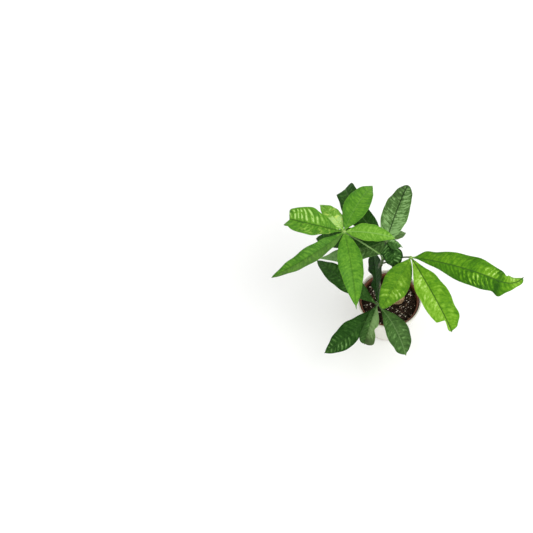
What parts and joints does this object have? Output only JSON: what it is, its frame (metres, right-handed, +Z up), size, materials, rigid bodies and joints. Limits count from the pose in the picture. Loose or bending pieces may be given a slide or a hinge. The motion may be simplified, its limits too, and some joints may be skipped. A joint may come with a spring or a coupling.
{
  "type": "potted money tree",
  "caption": "Small money tree with hand-shaped leaves on a curved green shoot from a cut-back stump, in a round nursery pot inside a white tapered cover pot.",
  "frame": {"origin": "middle of the cover pot's flat underside, on the surface the pot stands on", "axes": "+Z up along the pot's axis; +X to the right and -Y towards the viewer, as the plant is seen from the front"},
  "size_m": [0.388, 0.245, 0.278],
  "materials": {
    "glaze": "smooth white glaze, slightly warm, semi-gloss",
    "nursery_plastic": "thin reddish-brown moulded plastic, satin",
    "potting_mix": "moist dark peat and bark crumbs with pale perlite grains",
    "bark": "rough grey-brown bark with a pale, ringed, dry cut top",
    "green_bark": "smooth grey-green young bark with leaf scars, satin",
    "young_leaf": "leathery bright green with a waxy sheen, quilted between the veins",
    "old_leaf": "leathery dark green with a waxy sheen and paler veins"
  },
  "bodies": {
    "root": {"cover_pot": "glaze", "nursery_pot": "nursery_plastic", "soil": "potting_mix", "trunk": "bark", "shoot": "green_bark", "leaf_top": "young_leaf", "leaf_right": "young_leaf", "leaf_back": "old_leaf", "leaf_front": "old_leaf"}
  },
  "joints": []
}
